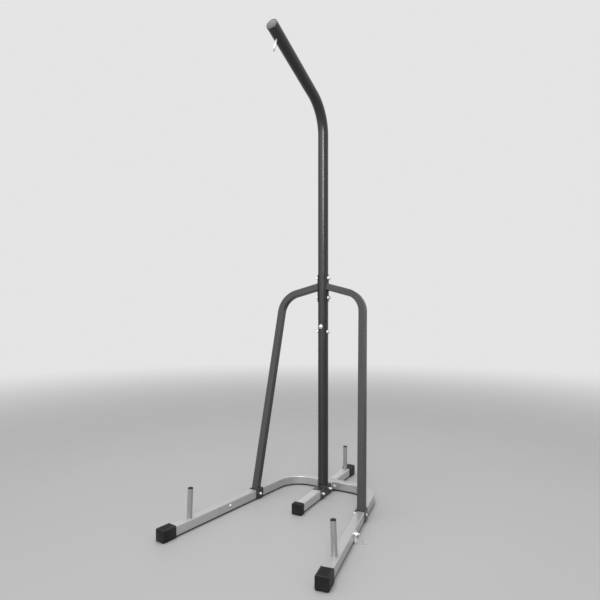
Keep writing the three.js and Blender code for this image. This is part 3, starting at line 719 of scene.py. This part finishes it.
def make_boom_plug(end, direction):
    """A push-in plug with a flat face inside a rounded rim."""
    stem = MAST_RADIUS - MAST_WALL - GAP
    rim, crown = 4 * MM, 5 * MM
    profile = [(0, -18 * MM), (stem - MM, -18 * MM), (stem, -17 * MM), (stem, GAP), (MAST_RADIUS, GAP)]
    profile += arc((MAST_RADIUS - 1.6 * MM, rim - 1.6 * MM), 1.6 * MM, 0, 90, 6)
    profile += [(MAST_RADIUS - 3.2 * MM, rim), (MAST_RADIUS - 4 * MM, rim - 0.5 * MM),
                (MAST_RADIUS - 4.6 * MM, rim - 0.5 * MM), (MAST_RADIUS - 5.6 * MM, rim + 0.2 * MM),
                (MAST_RADIUS / 2, crown - 0.1 * MM), (0, crown)]
    stands_for("boom_plug", moved(turned(profile, 72), along(end, direction)))


# ------------------------------------------------------------------ bolts and nuts
def thread(start, end, radius):
    """A (radius, height) profile of thread ridges between two heights."""
    count = max(1, round((end - start) / THREAD_PITCH))
    pitch = (end - start) / count
    depth = 0.55 * MM
    profile = []
    for k in range(count):
        base = start + k * pitch
        profile += [(radius - depth, base + 0.1 * pitch), (radius, base + 0.45 * pitch),
                    (radius, base + 0.6 * pitch), (radius - depth, base + 0.95 * pitch)]
    return profile


def bolt_mesh(grip, head, tail_length):
    """A round-head socket bolt along +Z, with its head's seat at the origin."""
    radius, height = head
    dome_radius = (radius ** 2 + height ** 2) / (2 * height)
    dome_angle = math.asin(radius / dome_radius)
    end = grip + 2 * GAP + NUT_HEIGHT + tail_length
    steps = 10
    dome = [(dome_radius * math.sin(dome_angle * k / steps),
             dome_radius * (1 - math.cos(dome_angle * k / steps)) - height) for k in range(steps)]
    rim = [(radius, -0.5 * MM), (radius, -0.1 * MM), (radius - 0.1 * MM, 0)]
    shank = [(BOLT_RADIUS, 0), (BOLT_RADIUS, grip)]
    tail = thread(grip + GAP, end - 0.6 * MM, BOLT_RADIUS)
    point = [(BOLT_RADIUS - 0.7 * MM, end), (0, end)]
    body = turned([p for p in dome if p[1] < -0.6 * MM] + rim + shank + tail + point, 40)
    socket = loft([[(x, y, z) for x, y in hexagon(SOCKET_FLATS)]
                   for z in (-2 * height, SOCKET_DEPTH - height)])
    return boolean(body, [socket])


def nut_mesh():
    """A lock nut along +Z: chamfered hexagon, then a round collar over its insert."""
    hex_height = 5.4 * MM
    corner = NUT_FLATS / 2 / math.cos(math.pi / 6)
    flats = NUT_FLATS / 2
    prism = loft([[(x, y, z) for x, y in hexagon(NUT_FLATS)] for z in (0, hex_height)])
    chamfer = (corner - flats) * 0.6
    limit = turned([(0, 0), (flats - 0.1 * MM, 0), (corner, chamfer), (corner, hex_height - chamfer),
                    (flats - 0.1 * MM, hex_height), (0, hex_height)], 60)
    collar = turned([(0, hex_height - MM), (flats - 0.6 * MM, hex_height - MM),
                     (flats - 0.6 * MM, hex_height + 0.6 * MM), (flats - 1.2 * MM, NUT_HEIGHT),
                     (0, NUT_HEIGHT)], 48)
    bore = turned([(BOLT_RADIUS + GAP, -MM), (BOLT_RADIUS + GAP, NUT_HEIGHT + MM)], 40)
    return boolean(boolean(boolean(prism, [limit], "INTERSECT"), [collar], "UNION"), [bore])


def insert_mesh():
    """The nylon ring inside a lock nut's collar."""
    inner, outer = BOLT_RADIUS + 0.05 * MM, BOLT_RADIUS + GAP
    low, high = NUT_HEIGHT - 1.6 * MM, NUT_HEIGHT - 0.4 * MM
    return turned([(inner, low), (outer, low), (outer, high), (inner, high)], 40, ring=True)


NUT = nut_mesh()
INSERT = insert_mesh()


def make_nut(node, place, body):
    stands_for(node, moved(NUT.copy(), place), bevel=0.2 * MM)
    piece(f"insert_{node}", moved(INSERT.copy(), place), body, "zinc", material=NYLON)


def make_bolt(name, direction, grip, head=BASE_HEAD, tail=BASE_TAIL):
    """A bolt and its nut; the nut's box gives the place, and grip is the clamped thickness."""
    centre = middle(f"{name}_nut")
    nut_start = centre - direction * (NUT_HEIGHT / 2)
    head_seat = nut_start - direction * (grip + 2 * GAP)
    stands_for(f"{name}_bolt", moved(bolt_mesh(grip, head, tail), along(head_seat, direction)))
    make_nut(f"{name}_nut", along(nut_start, direction), "stand")


def make_cross_bolt(name, direction, surface_radius, thickness):
    """A bolt across the mast, with a washer under its head that is hollowed to the surface."""
    height = middle(f"{name}_nut").z
    on_axis = Vector((0, MAST_Y, height))
    inner = surface_radius + GAP
    reach = inner + thickness
    disc = turned([(0, 0), (CURVED_WASHER, 0), (CURVED_WASHER, reach), (0, reach)], 64)
    moved(disc, along(on_axis - direction * reach, direction))
    round_cut = turned([(inner, -inner), (inner, inner)], 128)
    moved(round_cut, Matrix.Translation(on_axis))
    bore = turned([(BOLT_HOLE, -reach), (BOLT_HOLE, 2 * reach)], 40)
    moved(bore, along(on_axis - direction * reach, direction))
    stands_for(f"{name}_washer", boolean(disc, [round_cut, bore]), bevel=0.3 * MM)
    make_bolt(name, direction, reach + surface_radius, MAST_HEAD, MAST_TAIL)


def make_bolts():
    saddle_grip = TUBE + 2 * (GAP + SHEET)
    for side in (-1, 1):
        label = side_name(side)
        make_bolt(f"flange_{label}", -Y, TUBE + SHEET + GAP)
        across = Matrix.Rotation(side * SPLAY, 3, "Z") @ (X * -side)
        make_bolt(f"saddle_{label}", across, saddle_grip)
        make_bolt(f"anchor_{label}", across_leg(side), TUBE + SHEET + 2 * GAP, tail=ANCHOR_TAIL)
    for name in ("saddle_mast_front", "saddle_mast_rear"):
        make_bolt(name, X, saddle_grip)
    make_cross_bolt("mast_front", Y, MAST_RADIUS, MAST_WASHER)
    make_cross_bolt("mast_side", -X, MAST_RADIUS, MAST_WASHER)
    for name in ("clamp_lower", "clamp_upper"):
        make_cross_bolt(name, -X, PLATE_OUTSIDE, PLATE_WASHER)


# ------------------------------------------------------------------ eye bolt
def make_eye():
    axis_point, down = eye_line()
    place = along(axis_point, down, X)
    washer, washer_radius = 2 * MM, 11 * MM
    nut_seat = MAST_RADIUS + washer + 2 * GAP
    top = nut_seat + NUT_HEIGHT + BASE_TAIL
    drop = 65 * MM
    ring_middle = MAST_RADIUS + drop - EYE_RING - EYE_WIRE
    root = ring_middle - EYE_RING - 0.4 * MM
    shank = [(0, -top), (BOLT_RADIUS - 0.7 * MM, -top)]
    shank += thread(-top + 0.6 * MM, -MAST_RADIUS + 6 * MM, BOLT_RADIUS)
    shank += [(BOLT_RADIUS, -MAST_RADIUS + 7 * MM), (BOLT_RADIUS, root - 8 * MM),
              (BOLT_RADIUS + 0.3 * MM, root - 5 * MM), (BOLT_RADIUS + 0.9 * MM, root - 2.5 * MM),
              (BOLT_RADIUS + 0.6 * MM, root + 0.6 * MM), (BOLT_RADIUS - 1.2 * MM, root + 1.6 * MM),
              (0, root + 1.6 * MM)]
    around, wire = 56, 20
    # The local axes are square to the boom (u) and across it (X), so the ring turns between them.
    flat = Vector((math.cos(EYE_TURN), -math.sin(EYE_TURN), 0))
    thick = Vector((math.sin(EYE_TURN), math.cos(EYE_TURN), 0))
    loops = []
    for i in range(around):
        a = 2 * math.pi * i / around
        spoke = flat * math.cos(a) + Z * math.sin(a)
        loops.append([Z * ring_middle + spoke * (EYE_RING + r) + thick * t
                      for r, t in circle(EYE_WIRE, wire)])
    whole = boolean(turned(shank, 40), [loft(loops, ring=True)], "UNION")
    stands_for("eye_bolt", moved(whole, place))

    up = -down
    disc = turned([(BOLT_RADIUS + GAP, 0), (washer_radius, 0), (washer_radius, washer),
                   (BOLT_RADIUS + GAP, washer)], 56, ring=True)
    stands_for("eye_washer", moved(disc, along(axis_point + up * (MAST_RADIUS + GAP), up)),
               bevel=0.35 * MM)
    make_nut("eye_nut", along(axis_point + up * nut_seat, up), "eye")


# ------------------------------------------------------------------ side supports
def cylinder_meet(point, direction, radius):
    """Where a level-ish line from a point first meets the cylinder round the mast's axis."""
    px, py = point.x, point.y - MAST_Y
    a = direction.x ** 2 + direction.y ** 2
    b = px * direction.x + py * direction.y
    c = px ** 2 + py ** 2 - radius ** 2
    return point + direction * ((-b - math.sqrt(max(b * b - a * c, 0))) / a)


def make_support(side):
    mirror = Vector((side, 1, 1))
    foot = STRUT_FOOT * mirror + Vector((0, MAST_Y, SADDLE_TOP))
    shoulder = STRUT_SHOULDER * mirror + Vector((0, MAST_Y, 0))
    clear = PLATE_OUTSIDE + GAP
    head = Vector((side * clear, MAST_Y, STRUT_HEAD_HEIGHT))
    down = (foot - shoulder).normalized()
    inwards = (head - shoulder).normalized()
    normal = down.cross(inwards).normalized()
    outer, inner = square_outlines(STRUT, STRUT_WALL, STRUT_CORNER)
    corners = [foot + down * STRUT, shoulder, head + inwards * STRUT]
    body = tube(bent_path(corners, STRUT_BEND_RADIUS), normal, outer, inner)
    size = 4 * STRUT
    below = loft([[foot + Vector((x, y, z)) for x, y in circle(size, 4)] for z in (-size, GAP)])
    round_cut = turned([(clear, -size), (clear, size)], 96)
    moved(round_cut, Matrix.Translation((0, MAST_Y, head.z)))
    node = f"support_{side_name(side)}"
    stands_for(node, boolean(body, [below, round_cut]))

    # The weld at the foot follows the tube's outline on the saddle.
    other = down.cross(normal).normalized()
    rim = rounded_square(STRUT, STRUT_CORNER, -0.6 * MM)
    foot_line = []
    for u, v in rim:
        start = foot + normal * u + other * v
        foot_line.append(start + down * ((SADDLE_TOP + 0.4 * MM - start.z) / down.z))
    weld(f"weld_{node}_foot", walk(foot_line), 1.7 * MM, "black_paint")
    # The weld at the head follows the same outline where it meets the curved plate.
    other = inwards.cross(normal).normalized()
    head_line = []
    for u, v in rim:
        start = head - inwards * STRUT + normal * u + other * v
        head_line.append(cylinder_meet(start, inwards, PLATE_OUTSIDE + 0.4 * MM))
    weld(f"weld_{node}_head", walk(head_line), 1.7 * MM, "black_paint")


def make_clamp_plate(side):
    """A plate curved round the mast, with round corners."""
    node = f"clamp_plate_{side_name(side)}"
    low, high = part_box(node)
    half_height = (high.z - low.z) / 2
    corner = 7 * MM
    start = 0 if side > 0 else math.pi
    edge_angle = corner / PLATE_OUTSIDE
    flat = [k * (PLATE_HALF_ANGLE - edge_angle) / 12 for k in range(-12, 13)]
    tips = []
    for k in range(1, 7):
        r = math.radians(15 * k)
        angle = PLATE_HALF_ANGLE - edge_angle * (1 - math.sin(r))
        tips.append((angle, corner * (1 - math.cos(r))))
    columns = [(-a, drop) for a, drop in reversed(tips)] + [(a, 0.0) for a in flat] + tips
    z = (low.z + high.z) / 2

    def line(radius):
        return [Vector((radius * math.cos(start + a), MAST_Y + radius * math.sin(start + a), z))
                for a, _ in columns]

    halves = [Z * (half_height - drop) for _, drop in columns]
    stands_for(node, folded_sheet(line(PLATE_OUTSIDE), line(PLATE_OUTSIDE - SHEET), halves),
               bevel=0.4 * MM)


# ------------------------------------------------------------------ floor brackets
def make_bracket(side):
    """An angle with one round bend, a foot with round corners and a screw hole."""
    node = f"anchor_bracket_{side_name(side)}"
    joint = JOINTS[f"anchor_{side_name(side)}_pivot"]
    outwards = across_leg(side)
    origin = Vector(joint["pos_m"]) + outwards * (TUBE / 2 + GAP)
    origin.z = 0
    fold = 2.5 * MM                 # inner bend radius
    half = ANCHOR_WIDTH / 2

    def line(offset):
        """From the web's top down round the bend to the foot's end, at a distance from the back."""
        radius = fold + SHEET - offset
        centre = (fold + SHEET, fold + SHEET)
        web = [(offset, ANCHOR_TOP - ANCHOR_CORNER * (1 - math.sin(math.radians(90 - 15 * k))))
               for k in range(7)]
        tip = [(ANCHOR_FOOT - ANCHOR_CORNER * (1 - math.sin(math.radians(15 * k))), offset)
               for k in range(7)]
        return web + arc(centre, radius, 180, 270, 8) + tip

    rounding = [ANCHOR_CORNER * (1 - math.sin(math.radians(15 * k))) for k in range(7)]
    halves = [half - r for r in rounding] + [half] * 9 + [half - r for r in rounding[::-1]]
    across = Z.cross(outwards)
    place = Matrix((outwards, across, Z)).transposed().to_4x4()
    place.translation = origin
    lines = [[place @ Vector((x, 0, z)) for x, z in line(offset)] for offset in (0.0, SHEET)]
    body = folded_sheet(lines[0], lines[1], [across * h for h in halves])
    hole_at = origin + outwards * ANCHOR_HOLE_OUT
    drill = moved(turned([(ANCHOR_HOLE, -SHEET), (ANCHOR_HOLE, 2 * SHEET)], 40),
                  Matrix.Translation(hole_at))
    stands_for(node, boolean(body, [drill]), bevel=0.4 * MM)


# ------------------------------------------------------------------ welds of the centre tubes
def make_centre_welds():
    """Square beads where the nose tube meets its flange and the tail tube meets the bow."""
    for name, y in (("weld_nose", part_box("nose_flange")[0].y - 0.4 * MM),
                    ("weld_tail", BASE_HIGH.y + 0.4 * MM)):
        rim = rounded_square(TUBE, TUBE_CORNER, -0.6 * MM)
        corners = [Vector((u, y, TUBE_AXIS + v)) for u, v in rim]
        weld(name, walk(corners), 1.8 * MM, "silver_paint")


# ------------------------------------------------------------------ stage, light and camera
BACKDROP = 0.78                     # brightness of the surroundings behind the object
WINDOW_WALL = 2.0                   # and in front of it, where the daylight comes from
DAYLIGHT_FROM = (-0.2, -0.85, 0.49)
DAYLIGHT_FADE = (0.7, 1.0)          # cosines of the angles at which it starts and is full
FLOOR_RADIUS = 14
FLOOR_FADE = (1.8, 7.0)             # distances where the floor starts to fade and is gone
CONTACT_REACH = 25 * MM             # of the shade where pieces stand on the floor


def surroundings(nodes, links, direction):
    """The brightness of the room in a direction, lighter towards the front, as a node output."""
    facing = nodes.new("ShaderNodeVectorMath")
    facing.operation = "DOT_PRODUCT"
    facing.inputs[1].default_value = DAYLIGHT_FROM
    links.new(direction, facing.inputs[0])
    return map_range(nodes, links, facing.outputs["Value"], DAYLIGHT_FADE, (BACKDROP, WINDOW_WALL),
                     "SMOOTHSTEP")


def make_floor():
    """A wide pale floor, darkened by painted shade where pieces stand on it, that fades into the surroundings far
    from the object.
    """
    data = bpy.data.meshes.new("floor")
    mesh = loft([[(x, y, z) for x, y in circle(FLOOR_RADIUS, 96)] for z in (-20 * MM, 0.0)])
    mesh.to_mesh(data)
    floor = bpy.data.objects.new("floor", data)
    bpy.context.scene.collection.objects.link(floor)
    look = Look("pale_floor", 0.0, 0.3)
    # Painted shade: an ambient occlusion mask darkens the floor's colour towards black next to the pieces standing
    # on it.
    shade = look.nodes.new("ShaderNodeAmbientOcclusion")
    shade.inputs["Distance"].default_value = CONTACT_REACH
    plain = look.mix(look.noise(2, 3), (0.27, 0.27, 0.27), (0.28, 0.28, 0.28))
    painted_contact_shade = look.spread(shade.outputs["AO"], 0.0, 0.75, 0.0, 1.0)
    look.set(look.mix(painted_contact_shade, (0.01, 0.01, 0.01), plain),
             look.spread(look.noise(4, 2), 0.3, 0.7, 0.48, 0.52))
    distance = look.nodes.new("ShaderNodeVectorMath")
    distance.operation = "LENGTH"
    look.link(look.place, distance.inputs[0])
    fade = map_range(look.nodes, look.links, distance.outputs["Value"], FLOOR_FADE, (0.0, 1.0),
                     "SMOOTHSTEP")
    outwards = look.nodes.new("ShaderNodeVectorMath")
    outwards.operation = "NORMALIZE"
    look.link(look.place, outwards.inputs[0])
    glow = look.nodes.new("ShaderNodeEmission")
    far = surroundings(look.nodes, look.links, outwards.outputs["Vector"])
    look.link(far, glow.inputs["Strength"])
    blend = look.nodes.new("ShaderNodeMixShader")
    look.link(fade, blend.inputs[0])
    look.link(look.shader.outputs["BSDF"], blend.inputs[1])
    look.link(glow.outputs["Emission"], blend.inputs[2])
    look.link(blend.outputs["Shader"], look.nodes["Material Output"].inputs["Surface"])
    data.materials.append(look.material)


def make_light(name, place, aim, size, power):
    data = bpy.data.lights.new(name, "AREA")
    data.shape = "RECTANGLE"
    data.size, data.size_y = size
    data.energy = power
    light = bpy.data.objects.new(name, data)
    bpy.context.scene.collection.objects.link(light)
    light.location = place
    light.rotation_euler = (Vector(aim) - Vector(place)).to_track_quat("-Z", "Y").to_euler()


def make_lights():
    world = bpy.data.worlds.new("studio")
    world.use_nodes = True
    nodes, links = world.node_tree.nodes, world.node_tree.links
    background = nodes["Background"]
    background.inputs["Color"].default_value = (1, 1, 1, 1)
    direction = nodes.new("ShaderNodeTexCoord").outputs["Generated"]
    links.new(surroundings(nodes, links, direction), background.inputs["Strength"])
    bpy.context.scene.world = world
    make_light("ceiling", (0, -0.2, 4.2), (0, 0, 0), (3, 3), 130)
    make_light("window", (1.9, -3.8, 3.0), (0, 0.1, 1.2), (1.3, 1.6), 115)
    bpy.context.scene.view_settings.view_transform = "Standard"


CAMERA_PLACE = (1.01348, -1.94133, 0.89299)
CAMERA_TURN = math.radians(28.141)
CAMERA_LENS = 28.507                # lens and sensor in millimetres
SENSOR_WIDTH = 36
HORIZON_SHIFT = 0.02497             # of the picture's width


def make_camera():
    data = bpy.data.cameras.new("camera")
    data.sensor_width = SENSOR_WIDTH
    data.lens = CAMERA_LENS
    data.shift_y = HORIZON_SHIFT
    camera = bpy.data.objects.new("camera", data)
    bpy.context.scene.collection.objects.link(camera)
    camera.location = CAMERA_PLACE
    camera.rotation_euler = (math.pi / 2, 0, CAMERA_TURN)
    bpy.context.scene.camera = camera


# ------------------------------------------------------------------ everything
make_camera()
make_base()
make_flange()
for side in (-1, 1):
    make_cap(f"cap_leg_{side_name(side)}", Vector((-side * math.sin(SPLAY), math.cos(SPLAY), 0)))
    make_support(side)
    make_clamp_plate(side)
    make_bracket(side)
make_cap("cap_nose", Y)
make_cap("cap_tail", -Y)
make_pegs()
make_saddles()
make_boom_plug(*make_mast())
make_bolts()
make_eye()
make_centre_welds()
frame["nodes"]["mast_sleeve"].data.materials.clear()
frame["nodes"]["mast_sleeve"].data.materials.append(MATERIALS["zinc"])
make_floor()
make_lights()
